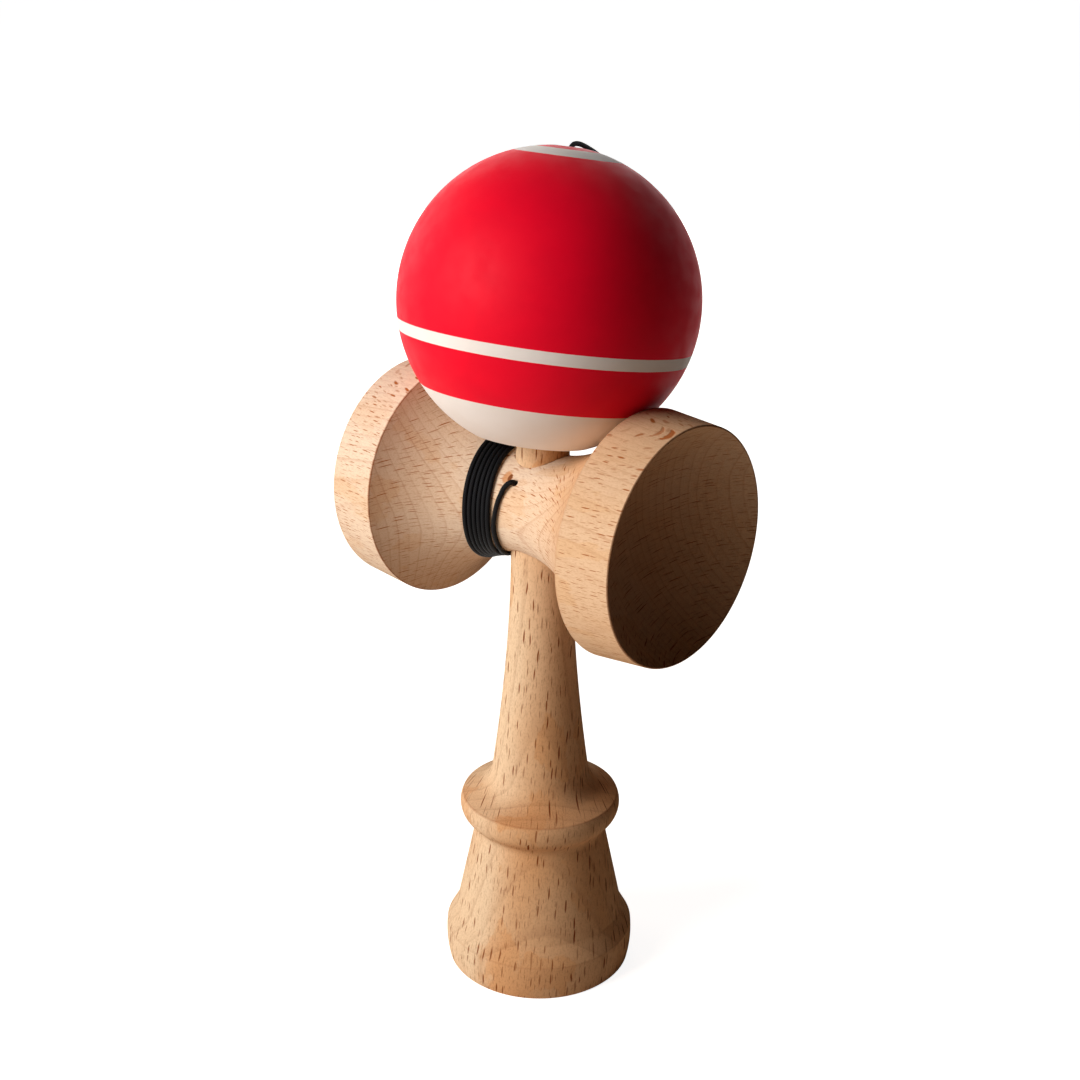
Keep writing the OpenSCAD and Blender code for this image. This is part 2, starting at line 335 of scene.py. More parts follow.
def smooth_line(points):
    """A Catmull-Rom curve through the points, with even steps, in metres."""
    p = np.array(points, float)
    p = np.vstack([2 * p[0] - p[1], p, 2 * p[-1] - p[-2]])
    line = []
    for i in range(1, len(p) - 2):
        for t in np.arange(SPLINE_STEPS) / SPLINE_STEPS:
            a, b, c, d = p[i - 1:i + 3]
            line.append(0.5 * (2 * b + (c - a) * t + (2 * a - 5 * b + 4 * c - d) * t ** 2
                               + (3 * b - a - 3 * c + d) * t ** 3))
    line = np.array(line + [p[-2]])
    along = np.concatenate([[0], np.cumsum(np.linalg.norm(np.diff(line, axis=0), axis=1))])
    even = np.linspace(0, along[-1], round(along[-1] / STRING_STEP) + 1)
    return np.stack([np.interp(even, along, line[:, k]) for k in range(3)], axis=1) * MM


def tube(name, line, radius, sides, closed=False):
    """A mesh tube round a line, with a UV map of share round and turns along."""
    count = len(line)
    if closed:
        ahead = np.roll(line, -1, axis=0) - np.roll(line, 1, axis=0)
    else:
        ahead = np.gradient(line, axis=0)
    ahead /= np.linalg.norm(ahead, axis=1)[:, None]
    side = np.cross(ahead[0], NOT_AHEAD)
    rings = []
    for here, heading in zip(line, ahead):
        side = side - side.dot(heading) * heading
        side /= np.linalg.norm(side)
        up = np.cross(heading, side)
        angles = 2 * math.pi * np.arange(sides) / sides
        rings.append(here + radius * (np.outer(np.cos(angles), side) + np.outer(np.sin(angles), up)))
    faces, uvs = [], []
    length = np.concatenate([[0], np.cumsum(np.linalg.norm(np.diff(line, axis=0), axis=1))])
    for i in range(count if closed else count - 1):
        j = (i + 1) % count
        v0, v1 = length[i] / MM, length[min(i + 1, count - 1)] / MM
        for k in range(sides):
            m = (k + 1) % sides
            faces.append((i * sides + k, i * sides + m, j * sides + m, j * sides + k))
            u0, u1 = k / sides, (k + 1) / sides
            uvs += [(u0, v0), (u1, v0), (u1, v1), (u0, v1)]
    if not closed:
        for start, order in ((0, -1), ((count - 1) * sides, 1)):
            faces.append(tuple(start + k for k in range(sides))[::order])
            uvs += [(0, 0)] * sides
    mesh = bpy.data.meshes.new(name)
    mesh.from_pydata(np.concatenate(rings).tolist(), [], faces)
    layer = mesh.uv_layers.new(name="braid")
    layer.data.foreach_set("uv", np.array(uvs, np.float32).ravel())
    mesh.polygons.foreach_set("use_smooth", np.ones(len(mesh.polygons), bool))
    return add_object(name, mesh)


lower_line = smooth_line(lower_points)
upper_line = smooth_line(upper_points)
lower_string = tube("string_lower", lower_line, STRING_D / 2 * MM, STRING_SIDES)
upper_string = tube("string_upper", upper_line, STRING_D / 2 * MM, STRING_SIDES)


def length_of(line):
    return float(np.linalg.norm(np.diff(line, axis=0), axis=1).sum())


print("string lengths in metres:", round(length_of(lower_line), 3), round(length_of(upper_line), 3))

# %% [markdown]
# Each end of the string is an overhand knot: one in the handle, and one under the bead in the ball. A
# trefoil is the same knot with its ends joined, so a closed tube along a trefoil stands for it.

# %% Knots
KNOT_R = 1.15
KNOT_TUBE = 0.42
KNOT_STEPS = 72


def knot(name, node):
    low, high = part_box(node)
    middle = np.array((low + high) / 2)
    t = 2 * math.pi * np.arange(KNOT_STEPS) / KNOT_STEPS
    trefoil = np.stack([np.sin(t) + 2 * np.sin(2 * t), np.cos(t) - 2 * np.cos(2 * t), -2 * np.sin(3 * t)],
                       axis=1)
    piece = tube(name, middle + trefoil / 3 * KNOT_R * MM, KNOT_TUBE * MM, STRING_SIDES, closed=True)
    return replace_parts(piece, node)


handle_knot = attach(knot("knot_in_handle", "anchor_knot"), "handle")
ball_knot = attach(knot("knot_in_ball", "bead_knot"), "bead")
print("knots made")

# %% [markdown]
# ## Turning the wood
# On the real toy all three wooden pieces are turned on a lathe. A Geometry Nodes tree does the same: it takes
# a half outline, rounds each corner by its own radius, sweeps it round a circle, and sets the piece in
# its place. A turning machine in the script would also do, but in a tree the corner rounds stay one
# number each.

# %% The lathe
LATHE_RING = 0.01
MERGE = 1e-6
CORNER_STEPS = 5
LATHE_STEPS = 160


def lathe_tree():
    tree = bpy.data.node_groups.new("lathe", "GeometryNodeTree")
    face = tree.interface
    face.new_socket("Outline", in_out="INPUT", socket_type="NodeSocketGeometry")
    face.new_socket("Segments", in_out="INPUT", socket_type="NodeSocketInt")
    face.new_socket("Turn", in_out="INPUT", socket_type="NodeSocketVector")
    face.new_socket("Place", in_out="INPUT", socket_type="NodeSocketVector")
    face.new_socket("Material", in_out="INPUT", socket_type="NodeSocketMaterial")
    face.new_socket("Turned", in_out="OUTPUT", socket_type="NodeSocketGeometry")
    nodes = Nodes(tree)
    given = nodes.add("NodeGroupInput").outputs
    rounding = nodes.add("GeometryNodeInputNamedAttribute", {"Name": "round"}, data_type="FLOAT")
    line = nodes.add("GeometryNodeMeshToCurve", {"Mesh": given["Outline"]})
    soft = nodes.add("GeometryNodeFilletCurve", {"Curve": line.outputs[0], "Radius": rounding.outputs[0],
                                                 "Limit Radius": True, "Count": CORNER_STEPS}, mode="POLY")
    ring = nodes.add("GeometryNodeCurvePrimitiveCircle", {"Resolution": given["Segments"],
                                                          "Radius": LATHE_RING})
    swept = nodes.add("GeometryNodeCurveToMesh", {"Curve": ring.outputs[0], "Profile Curve": soft.outputs[0]})
    merged = nodes.add("GeometryNodeMergeByDistance", {"Geometry": swept.outputs[0], "Distance": MERGE})
    placed = nodes.add("GeometryNodeTransform", {"Geometry": merged.outputs[0], "Rotation": given["Turn"],
                                                 "Translation": given["Place"]})
    real = nodes.add("GeometryNodeRealizeInstances", {"Geometry": placed.outputs[0]})
    painted = nodes.add("GeometryNodeSetMaterial", {"Geometry": real.outputs[0],
                                                    "Material": given["Material"]})
    nodes.add("NodeGroupOutput", {"Turned": painted.outputs[0]})
    return tree


LATHE = lathe_tree()


def plain_mesh(obj, name):
    """The object as its modifiers make it, as a plain new object in place of the old one."""
    bpy.context.view_layer.update()
    mesh = bpy.data.meshes.new_from_object(obj.evaluated_get(bpy.context.evaluated_depsgraph_get()))
    bpy.data.objects.remove(obj)
    mesh.name = name
    return add_object(name, mesh)


def arc(centre, radius, start, end, step=1.0):
    """Points of an arc about a centre (radius, height), in degrees from the outward direction."""
    count = max(2, math.ceil(radius * math.radians(abs(end - start)) / step))
    angles = np.radians(np.linspace(start, end, count + 1))
    return [(centre[0] + radius * math.cos(a), centre[1] + radius * math.sin(a), 0.0) for a in angles]


def turn_on_lathe(name, outline, material, turn=(0, 0, 0), place=(0, 0, 0), closed=False):
    """Turns an outline of (radius, height, corner round) in millimetres."""
    points = [(r * MM - LATHE_RING, -h * MM, 0) for r, h, _ in outline]
    edges = [(i, i + 1) for i in range(len(points) - 1)]
    if closed:
        edges.append((len(points) - 1, 0))
    mesh = bpy.data.meshes.new(name)
    mesh.from_pydata(points, edges, [])
    rounds = mesh.attributes.new("round", "FLOAT", "POINT")
    rounds.data.foreach_set("value", [corner * MM for _, _, corner in outline])
    obj = add_object(name, mesh)
    modifier = obj.modifiers.new("lathe", "NODES")
    modifier.node_group = LATHE
    values = {"Segments": LATHE_STEPS, "Turn": [math.radians(x) for x in turn],
              "Place": [x * MM for x in place], "Material": material}
    for item in LATHE.interface.items_tree:
        if item.name in values:
            modifier[item.identifier] = values[item.name]
    piece = plain_mesh(obj, name)
    work = bmesh.new()
    work.from_mesh(piece.data)
    bmesh.ops.recalc_face_normals(work, faces=work.faces)
    work.to_mesh(piece.data)
    work.free()
    print(name, len(piece.data.polygons), "faces")
    return piece


def drill(piece, start, end, radius_start, radius_end):
    """Cuts a round hole, straight or tapered, between two points in millimetres."""
    a, b = Vector(start) * MM, Vector(end) * MM
    work = bmesh.new()
    bmesh.ops.create_cone(work, cap_ends=True, segments=LATHE_STEPS, radius1=radius_start * MM,
                          radius2=radius_end * MM, depth=(b - a).length)
    mesh = bpy.data.meshes.new("drill")
    work.to_mesh(mesh)
    work.free()
    bit = add_object("drill", mesh)
    bit.matrix_world = Matrix.Translation((a + b) / 2) @ (b - a).to_track_quat("Z", "Y").to_matrix().to_4x4()
    cut = piece.modifiers.new("hole", "BOOLEAN")
    cut.operation = "DIFFERENCE"
    cut.solver = "EXACT"
    cut.object = bit
    done = plain_mesh(piece, piece.name)
    bpy.data.objects.remove(bit)
    return done


def finish_turned(piece):
    """Smooth shading, with flat faces kept flat beside the small rounds of their corners."""
    piece.data.polygons.foreach_set("use_smooth", np.ones(len(piece.data.polygons), bool))
    weighted = piece.modifiers.new("weighted", "WEIGHTED_NORMAL")
    weighted.weight = 50
    return plain_mesh(piece, piece.name)


# %% [markdown]
# ## Beech
# Beech shows growth rings, a fine fibre, small pores and rays. A ray is a thin brown plate that runs out
# from the middle of the tree. On the side of a board its end is a short dash along the grain, and on end
# grain it is a line across the rings. One group makes all of them from a vector that points out of the
# tree, across the rays and along the grain, so every turned surface cuts the same wood.

# %% Rays
RAY_CELL = (1.2, 3.5, 8.0)
RAY_HALF = (0.15, 1.7, 4.0)
TICK_CELL = (0.7, 2.2, 4.5)
TICK_HALF = (0.07, 1.0, 2.2)
RAY_SCATTER = 0.75
SIZE_LEAST = 0.6
SIZE_SPREAD = 0.6
FAINTEST_RAY = 0.5


def dashes(nodes, place, cell, half):
    """Short plates scattered one to a cell: 1 inside a plate, 0 outside."""
    place = nodes.vector("DIVIDE", place, cell)
    scatter = nodes.add("ShaderNodeTexVoronoi", {"Vector": place, "Scale": 1.0, "Randomness": RAY_SCATTER})
    away = nodes.vector("SUBTRACT", place, scatter.outputs["Position"])
    shape = nodes.vector("LENGTH", nodes.vector("MULTIPLY", away, [c / h for c, h in zip(cell, half)]))
    chance = nodes.add("ShaderNodeSeparateColor", {"Color": scatter.outputs["Color"]}).outputs
    size = nodes.math("MULTIPLY_ADD", chance["Green"], SIZE_SPREAD, SIZE_LEAST)
    mask = nodes.ramp(nodes.math("DIVIDE", shape, size), 1.0, 0.5)
    return nodes.math("MULTIPLY", mask, nodes.ramp(chance["Red"], 0.0, 0.8, FAINTEST_RAY, 1.0))


# %% [markdown]
# The noises below are stretched along the grain, so each has three numbers: how fine it is out of the tree,
# across the rays and along the grain. The shares say how much each one darkens or warms the wood at most.

# %% Beech group
SWIRL = (0.045, 0.045, 0.014)
CLOUD = (0.05, 0.05, 0.02)
PATCH = (0.11, 0.11, 0.045)
FIBRE = (2.5, 5.0, 0.3)
PORE = (4.0, 4.0, 1.8)
RING_WOBBLE = 2.8
LATE_WOOD = (0.75, 0.95)
FAINTEST_YEAR = 0.35
SHAKE_FINENESS = 0.12
SHAKE_REACH = 0.8
CUT_FINENESS = 5.0
CLOUD_SHARE, PATCH_SHARE, YEAR_SHARE = 0.25, 0.35, 0.05
FIBRE_SHARE, PORE_SHARE, TICK_SHARE = 0.14, 0.2, 0.6
FIBRE_RIDGE, CUT_RIDGE, DENT = 0.4, 0.5, 0.3
WOOD_ROUGH, FIBRE_ROUGH = 0.5, 0.2


def beech_group():
    tree = bpy.data.node_groups.new("beech", "ShaderNodeTree")
    face = tree.interface
    face.new_socket("Grain", in_out="INPUT", socket_type="NodeSocketVector")
    for name in ("Ring Gap", "Ring Strength", "Ray Size", "Ray Strength", "Warmth And Shade"):
        face.new_socket(name, in_out="INPUT", socket_type="NodeSocketFloat")
    for name in ("Pale", "Warm", "Ray"):
        face.new_socket(name, in_out="INPUT", socket_type="NodeSocketColor")
    face.new_socket("Color", in_out="OUTPUT", socket_type="NodeSocketColor")
    face.new_socket("Roughness", in_out="OUTPUT", socket_type="NodeSocketFloat")
    face.new_socket("Height", in_out="OUTPUT", socket_type="NodeSocketFloat")
    nodes = Nodes(tree)
    given = nodes.add("NodeGroupInput").outputs
    in_mm = nodes.vector("MULTIPLY", given["Grain"], PER_MM)
    out, across, along = nodes.split(in_mm)

    swirl = nodes.stretched(in_mm, SWIRL)
    phase = nodes.math("DIVIDE", nodes.math("MULTIPLY_ADD", swirl, RING_WOBBLE, out), given["Ring Gap"])
    step = nodes.math("FRACT", phase)
    year = nodes.add("ShaderNodeTexWhiteNoise", {"W": nodes.math("FLOOR", phase)}, noise_dimensions="1D")
    late = nodes.math("MULTIPLY", nodes.ramp(step, *LATE_WOOD), nodes.ramp(step, 1.0, LATE_WOOD[1]))
    late = nodes.math("MULTIPLY", late, nodes.ramp(year.outputs["Value"], 0.0, 1.0, FAINTEST_YEAR, 1.0))

    shake = nodes.math("MULTIPLY_ADD", nodes.noise(in_mm, SHAKE_FINENESS), SHAKE_REACH, across)
    plates = nodes.xyz(shake, along, out)
    tick = dashes(nodes, plates, TICK_CELL, TICK_HALF)
    sized = nodes.vector("DIVIDE", plates, nodes.xyz(*[given["Ray Size"]] * 3))
    ray = nodes.math("MULTIPLY", dashes(nodes, sized, RAY_CELL, RAY_HALF), given["Ray Strength"])

    fibre = nodes.stretched(in_mm, FIBRE, 3.0)
    pore = nodes.stretched(in_mm, PORE, 1.0)
    cloud = nodes.ramp(nodes.stretched(in_mm, CLOUD), 0.35, 0.7, -CLOUD_SHARE, CLOUD_SHARE)
    patch = nodes.ramp(nodes.stretched(in_mm, PATCH, 4.0), 0.55, 0.58, 0.0, PATCH_SHARE)
    warmth_and_shade = nodes.math("ADD", nodes.math("ADD", cloud, given["Warmth And Shade"]), patch, clamp=True)
    color = nodes.mix(warmth_and_shade, given["Pale"], given["Warm"])
    for share in (nodes.math("MULTIPLY", late, given["Ring Strength"]),
                  nodes.ramp(step, 0.2, 1.0, 0.0, YEAR_SHARE),
                  nodes.ramp(fibre, 0.4, 0.8, 0.0, FIBRE_SHARE),
                  nodes.ramp(pore, 0.45, 0.75, 0.0, PORE_SHARE),
                  nodes.math("MULTIPLY", tick, TICK_SHARE),
                  ray):
        color = nodes.mix(share, color, given["Ray"])

    cut = nodes.noise(nodes.xyz(0.0, 0.0, nodes.math("MULTIPLY", along, CUT_FINENESS)))
    ridge = nodes.math("MULTIPLY_ADD", fibre, FIBRE_RIDGE, nodes.math("MULTIPLY", cut, CUT_RIDGE))
    dent = nodes.math("ADD", nodes.math("MULTIPLY", ray, DENT), nodes.math("MULTIPLY", pore, DENT))
    rough = nodes.math("MULTIPLY_ADD", fibre, FIBRE_ROUGH, WOOD_ROUGH)
    nodes.add("NodeGroupOutput", {"Color": color, "Roughness": rough,
                                  "Height": nodes.math("SUBTRACT", ridge, dent)})
    return tree


BEECH = beech_group()
print("beech group:", len(BEECH.nodes), "nodes")

# %% [markdown]
# The sharp edges of the turned wood are darker, from handling. A second group marks the places near one edge
# of a turned piece, from the height along its axis and the radius there.

# %% Edge group
def edge_group():
    tree = bpy.data.node_groups.new("worn_edge", "ShaderNodeTree")
    face = tree.interface
    for name in ("Along", "Radius", "Edge Along", "Edge Radius", "Width"):
        face.new_socket(name, in_out="INPUT", socket_type="NodeSocketFloat")
    face.new_socket("Mask", in_out="OUTPUT", socket_type="NodeSocketFloat")
    nodes = Nodes(tree)
    given = nodes.add("NodeGroupInput").outputs
    step = nodes.xyz(nodes.math("SUBTRACT", given["Along"], given["Edge Along"]),
                     nodes.math("SUBTRACT", given["Radius"], given["Edge Radius"]), 0.0)
    share = nodes.math("DIVIDE", nodes.vector("LENGTH", step), given["Width"])
    nodes.add("NodeGroupOutput", {"Mask": nodes.ramp(share, 1.0, 0.35)})
    return tree


WORN_EDGE = edge_group()
print("edge group:", len(WORN_EDGE.nodes), "nodes")

# %% [markdown]
# Four small steps make up a wood material. The first bends the grain round the pith, which is the middle of
# the tree. The second places the beech group. The third darkens worn edges, and the last adds single
# marks, such as a fleck or a torn place, with a frayed outline and a dent.

# %% Steps of a wood material
PALE = srgb(236, 210, 182)
WARM = srgb(228, 186, 144)
RAY = srgb(172, 98, 50)
EDGE_BROWN = srgb(152, 84, 44)
EDGE_WIDTH = 0.35
EDGE_FINENESS = 700.0
FRAY = (2.5, 2.5, 0.8)
FRAY_REACH = 0.7
MARK_EDGE = (1.35, 0.95)
MARK_DENT = 3.0


def round_pith(nodes, vector, pith, lean):
    far = math.hypot(*pith) * MM
    out, across, along = nodes.split(nodes.vector("SUBTRACT", vector, (pith[0] * MM, pith[1] * MM, 0)))
    angle = nodes.math("ARCTAN2", across, nodes.math("MULTIPLY", out, -1.0))
    round_it = nodes.math("MULTIPLY_ADD", angle, far, nodes.math("MULTIPLY", along, -lean))
    return nodes.xyz(nodes.vector("LENGTH", nodes.xyz(out, across, 0.0)), round_it, along)


def beech_wood(nodes, grain, rings, rays, warmth_and_shade, colors):
    return nodes.add("ShaderNodeGroup", {"Grain": grain, "Ring Gap": rings[0], "Ring Strength": rings[1],
                                         "Ray Size": rays[0], "Ray Strength": rays[1], "Warmth And Shade": warmth_and_shade,
                                         "Pale": colors[0], "Warm": colors[1], "Ray": colors[2]},
                     node_tree=BEECH).outputs


def wear_edges(nodes, color, place, in_mm, edges):
    out, across, along = nodes.split(in_mm)
    radius = nodes.vector("LENGTH", nodes.xyz(out, across, 0.0))
    worn = 0.0
    for edge_along, edge_radius, strength in edges:
        edge = nodes.add("ShaderNodeGroup", {"Along": along, "Radius": radius, "Edge Along": edge_along,
                                             "Edge Radius": edge_radius, "Width": EDGE_WIDTH},
                         node_tree=WORN_EDGE)
        worn = nodes.math("MAXIMUM", nodes.math("MULTIPLY", edge.outputs[0], strength), worn)
    patchy = nodes.ramp(nodes.noise(place, EDGE_FINENESS), 0.3, 0.6, 0.5, 1.0)
    return nodes.mix(nodes.math("MULTIPLY", worn, patchy), color, EDGE_BROWN)


def add_marks(nodes, color, height, in_mm, marks):
    for middle, half, strength, stain_and_shade in marks:
        away = nodes.vector("LENGTH", nodes.vector("DIVIDE", nodes.vector("SUBTRACT", in_mm, middle), half))
        frayed = nodes.math("MULTIPLY_ADD", nodes.stretched(in_mm, FRAY, 3.0), FRAY_REACH, away)
        mark = nodes.ramp(frayed, *MARK_EDGE, 0.0, strength)
        color = nodes.mix(mark, color, stain_and_shade)
        height = nodes.math("SUBTRACT", height, nodes.math("MULTIPLY", mark, MARK_DENT))
    return color, height


# %% [markdown]
# The material puts the steps together. One side of a piece can be painted warmer than the other: this is
# painted shade on the side away from the main light, with the lit side paler. End grain, where the surface
# faces along the grain, is darker, and on the cross-piece, where the tint is strong, this is partly painted
# shade in the cups and the cove. Bare sanded wood is matt, so it mirrors nothing.

# %% Wood material
END_GRAIN = (0.9, 0.82, 0.76)
PLAIN_WARMTH = 0.4
GRAIN_BUMP, GRAIN_DEPTH = 0.5, 0.05


def add_surface(nodes, color, rough, height, bump, depth, specular):
    """A Principled surface with bumps of a depth in millimetres, joined to the material's output."""
    relief = nodes.add("ShaderNodeBump", {"Strength": bump, "Distance": depth * MM, "Height": height})
    surface = nodes.add("ShaderNodeBsdfPrincipled", {"Base Color": color, "Roughness": rough,
                                                     "Normal": relief.outputs[0]})
    surface.inputs["Specular IOR Level"].default_value = specular
    nodes.add("ShaderNodeOutputMaterial", {"Surface": surface.outputs[0]})
    return surface


def wood_material(name, grain, rings, rays, colors=(PALE, WARM, RAY), end_grain_and_shade=END_GRAIN, turn=0.0,
                  axis_height=0.0, pith=None, lean=0.0, warm_side=None, edges=(), marks=()):
    """Beech with grain = the object axes that run out of the tree, across its rays and along its grain.

    rings are their gap and strength, and rays their size and strength. end_grain_and_shade is the tint where
    the grain is cut across; where it is strong it is partly painted shade in hollows. turn turns the frame
    about the lathe's axis. pith is the middle of the tree (out, across), from which the rings and rays start.
    lean is how far the grain goes across for each step along. warm_side is the direction in which the wood is
    painted warmer, as painted shade away from the main light, with the lit side paler, and where that starts
    and ends. edges are (along, radius, strength), and marks are (middle, half size, strength, colour), as
    places out, across and along. All are in millimetres.
    """
    material, nodes = new_material(name)
    coordinates = nodes.add("ShaderNodeTexCoord").outputs
    place = coordinates["Object"]
    axes = ["XYZ".index(axis) for axis in grain]
    angles = [math.radians(turn) if axis == axes[2] else 0.0 for axis in range(3)]
    own = nodes.add("ShaderNodeMapping", {"Vector": place, "Location": (0, 0, axis_height * MM),
                                          "Rotation": angles}, vector_type="TEXTURE")
    xyz = nodes.split(own.outputs[0])
    vector = nodes.xyz(*[xyz[axis] for axis in axes])
    in_mm = nodes.vector("MULTIPLY", vector, PER_MM)
    tree = round_pith(nodes, vector, pith, lean) if pith else vector
    warmth_and_shade = PLAIN_WARMTH
    # Painted light: the wood is painted warmer towards the side away from the main light and paler towards the
    # lit side.
    if warm_side:
        direction, start, end = warm_side
        warmth_and_shade = nodes.ramp(nodes.vector("DOT_PRODUCT", place, direction), start * MM, end * MM)
    wood = beech_wood(nodes, tree, rings, rays, warmth_and_shade, colors)
    # End grain is darker; where the tint is strong, as on the cross-piece, it is also painted shade in the
    # cups and cove.
    facing = nodes.split(coordinates["Normal"])[axes[2]]
    end_on = nodes.math("MULTIPLY", facing, facing)
    color = nodes.mix(end_on, wood["Color"], nodes.vector("MULTIPLY", wood["Color"], end_grain_and_shade))
    if edges:
        color = wear_edges(nodes, color, place, in_mm, edges)
    color, height = add_marks(nodes, color, wood["Height"], in_mm, marks)
    add_surface(nodes, color, wood["Roughness"], height, GRAIN_BUMP, GRAIN_DEPTH, specular=0.0)
    return material


# %% [markdown]
# ## The ken
# The handle has a cup in its foot, a creased foot, a tapering skirt, a rounded collar and a slim grip that
# ends in the spike. Its outline is a few points and arcs, and the grip follows a power curve. Its wood is
# painted paler on the lit left and warmer on the shaded right, as painted light, and its rays are darker
# than on the cross-piece.

# %% Ken
FOOT_R, FOOT_ROUND, FOOT_MID, FOOT_H = 20.75, 24.0, 5.6, 8.2
FOOT_CUP_R, FOOT_CUP_DEPTH = 17.6, 8.5
FOOT_CHAMFER = 0.3
SKIRT_Z, SKIRT_R = 12.2, 18.35
GROOVE_Z, GROOVE_R = 33.1, 14.0
COLLAR_R, COLLAR_ROUND, COLLAR_MID, COLLAR_Z = 17.4, 4.4, 38.3, 40.5
COLLAR_FROM, COLLAR_SLOPE, FLARE_R = -44.0, 24.5, 6.0
GRIP_Z, GRIP_R, GRIP_POWER, GRIP_STEPS = 46.4, 10.45, 1.8, 24
NECK_Z, NECK_R = 96.0, 6.45
SPIKE_Z, SPIKE_R, TIP_R, KEN_H = 119.0, 5.45, 2.6, 156.0


def cup_arc(mouth, depth, mouth_height, up):
    """The hollow of a cup, from its middle to its mouth. up is 1 where the cup opens upwards, else -1."""
    ball = (mouth ** 2 + depth ** 2) / (2 * depth)
    half = math.degrees(math.asin(mouth / ball))
    centre = (0.0, mouth_height - up * (depth - ball))
    return arc(centre, ball, -up * 90, -up * (90 - half))


foot_from = math.degrees(math.asin((FOOT_CHAMFER - FOOT_MID) / FOOT_ROUND))
foot_to = math.degrees(math.asin((FOOT_H - FOOT_MID) / FOOT_ROUND))
foot_side = arc((FOOT_R - FOOT_ROUND, FOOT_MID), FOOT_ROUND, foot_from, foot_to)
collar_core = COLLAR_R - COLLAR_ROUND
collar_to = math.degrees(math.asin((COLLAR_Z - COLLAR_MID) / COLLAR_ROUND))
grip_lean = math.degrees(math.atan(GRIP_POWER * (GRIP_R - NECK_R) / (NECK_Z - GRIP_Z)))
lean_cos, lean_sin = math.cos(math.radians(grip_lean)), math.sin(math.radians(grip_lean))
flare_mid = (GRIP_R + FLARE_R * lean_cos, GRIP_Z + FLARE_R * lean_sin)
flare = arc(flare_mid, FLARE_R, 270 - COLLAR_SLOPE, 180 + grip_lean, 0.5)
grip = []
for step in range(1, GRIP_STEPS + 1):
    z = GRIP_Z + (NECK_Z - GRIP_Z) * step / GRIP_STEPS
    grip.append((NECK_R + (GRIP_R - NECK_R) * ((NECK_Z - z) / (NECK_Z - GRIP_Z)) ** GRIP_POWER, z, 0.0))

ken_outline = [
    *cup_arc(FOOT_CUP_R, FOOT_CUP_DEPTH, 0.0, -1)[:-1], (FOOT_CUP_R, 0, 0.3),
    (foot_side[0][0] - FOOT_CHAMFER, 0, 0.2), *foot_side[:-1], (*foot_side[-1][:2], 0.4),
    (SKIRT_R, SKIRT_Z, 1.2), (GROOVE_R, GROOVE_Z, 3.0),
    *arc((collar_core, COLLAR_MID), COLLAR_ROUND, COLLAR_FROM, collar_to, 0.6)[:-1],
    (collar_core + COLLAR_ROUND * math.cos(math.radians(collar_to)), COLLAR_Z, 0.2), *flare, *grip,
    (SPIKE_R, SPIKE_Z, 1.0), *arc((0, KEN_H - TIP_R), TIP_R, 0, 90, 0.3),
]
KEN_COLORS = (srgb(230, 198, 161), srgb(219, 164, 115), srgb(128, 66, 30))
COLLAR_EDGE_R = 16.85
KEN_EDGES = [(COLLAR_Z, COLLAR_EDGE_R, 0.3), (FOOT_H, foot_side[-1][0], 0.15)]
KEN_PITH = (26.0, -23.0)
# Painted light: the ken is painted paler on its lit left and warmer on its shaded right.
KEN_PAINTED_SHADE_SIDE = ((1.0, 0.0, 0.0), -4.0, 9.0)
POCKET_R, POCKET_Z, POCKET_FRONT = 2.1, 111.2, -12.9

ken_beech = wood_material("ken_beech", "YXZ", rings=(3.0, 0.14), rays=(1.05, 1.0), colors=KEN_COLORS,
                          pith=KEN_PITH, lean=0.05, warm_side=KEN_PAINTED_SHADE_SIDE, edges=KEN_EDGES)
ken = turn_on_lathe("ken_turned", ken_outline, ken_beech)
ken = drill(ken, (0, 0, POCKET_Z), (0, POCKET_FRONT, POCKET_Z), POCKET_R, POCKET_R)
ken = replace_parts(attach(finish_turned(ken), "handle"), "ken")

# %% [markdown]
# ## The sarado
# The cross-piece is one turning with a big cup, a small cup and a deep round cove between them. The handle's
# taper goes through its waist, and a small hole in front lets the string out. The wood tore a little
# beside that hole when it was drilled; the torn place's darker core is partly painted shade in its pit. Two
# brown flecks lie near the big cup's rim.

# %% Sarado
SARADO_W = 73.6
RIM_R, ARRIS_R, RIM_CHAMFER = 24.15, 25.15, 0.2
BIG_CUP_R, BIG_CUP_DEPTH = 23.8, 15.0
SMALL_CUP_R, SMALL_CUP_DEPTH = 20.8, 12.5
BORE_GAP, BORE_FROM, BORE_TO = -0.02, 93.0, 121.0
STRING_HOLE_R, STRING_HOLE_ANGLE, DRILL_PAST = 0.75, 51.0, 2.0

half_w = SARADO_W / 2
arris_x = math.sqrt(COVE_R ** 2 - (WAIST_R + COVE_R - ARRIS_R) ** 2)
cove_half = math.degrees(math.asin(arris_x / COVE_R))
big_cup = cup_arc(BIG_CUP_R, BIG_CUP_DEPTH, half_w, 1)
small_cup = cup_arc(SMALL_CUP_R, SMALL_CUP_DEPTH, -half_w, -1)
sarado_outline = [
    *big_cup[:-1], (BIG_CUP_R, half_w, 0.15),
    (RIM_R - RIM_CHAMFER, half_w, 0.2), (RIM_R, half_w - RIM_CHAMFER, 0.2), (ARRIS_R, arris_x, 0.12),
    *arc((WAIST_R + COVE_R, 0), COVE_R, 180 - cove_half, 180 + cove_half, 0.7)[1:-1],
    (ARRIS_R, -arris_x, 0.12), (RIM_R, -half_w + RIM_CHAMFER, 0.2), (RIM_R - RIM_CHAMFER, -half_w, 0.2),
    (SMALL_CUP_R, -half_w, 0.15), *small_cup[-2::-1],
]
SARADO_EDGES = [(arris_x, ARRIS_R, 0.15), (-arris_x, ARRIS_R, 0.7), (half_w, RIM_R - 0.2, 0.4),
                (-half_w, RIM_R - 0.3, 0.4)]
SARADO_GRAIN_TURN = 12.5
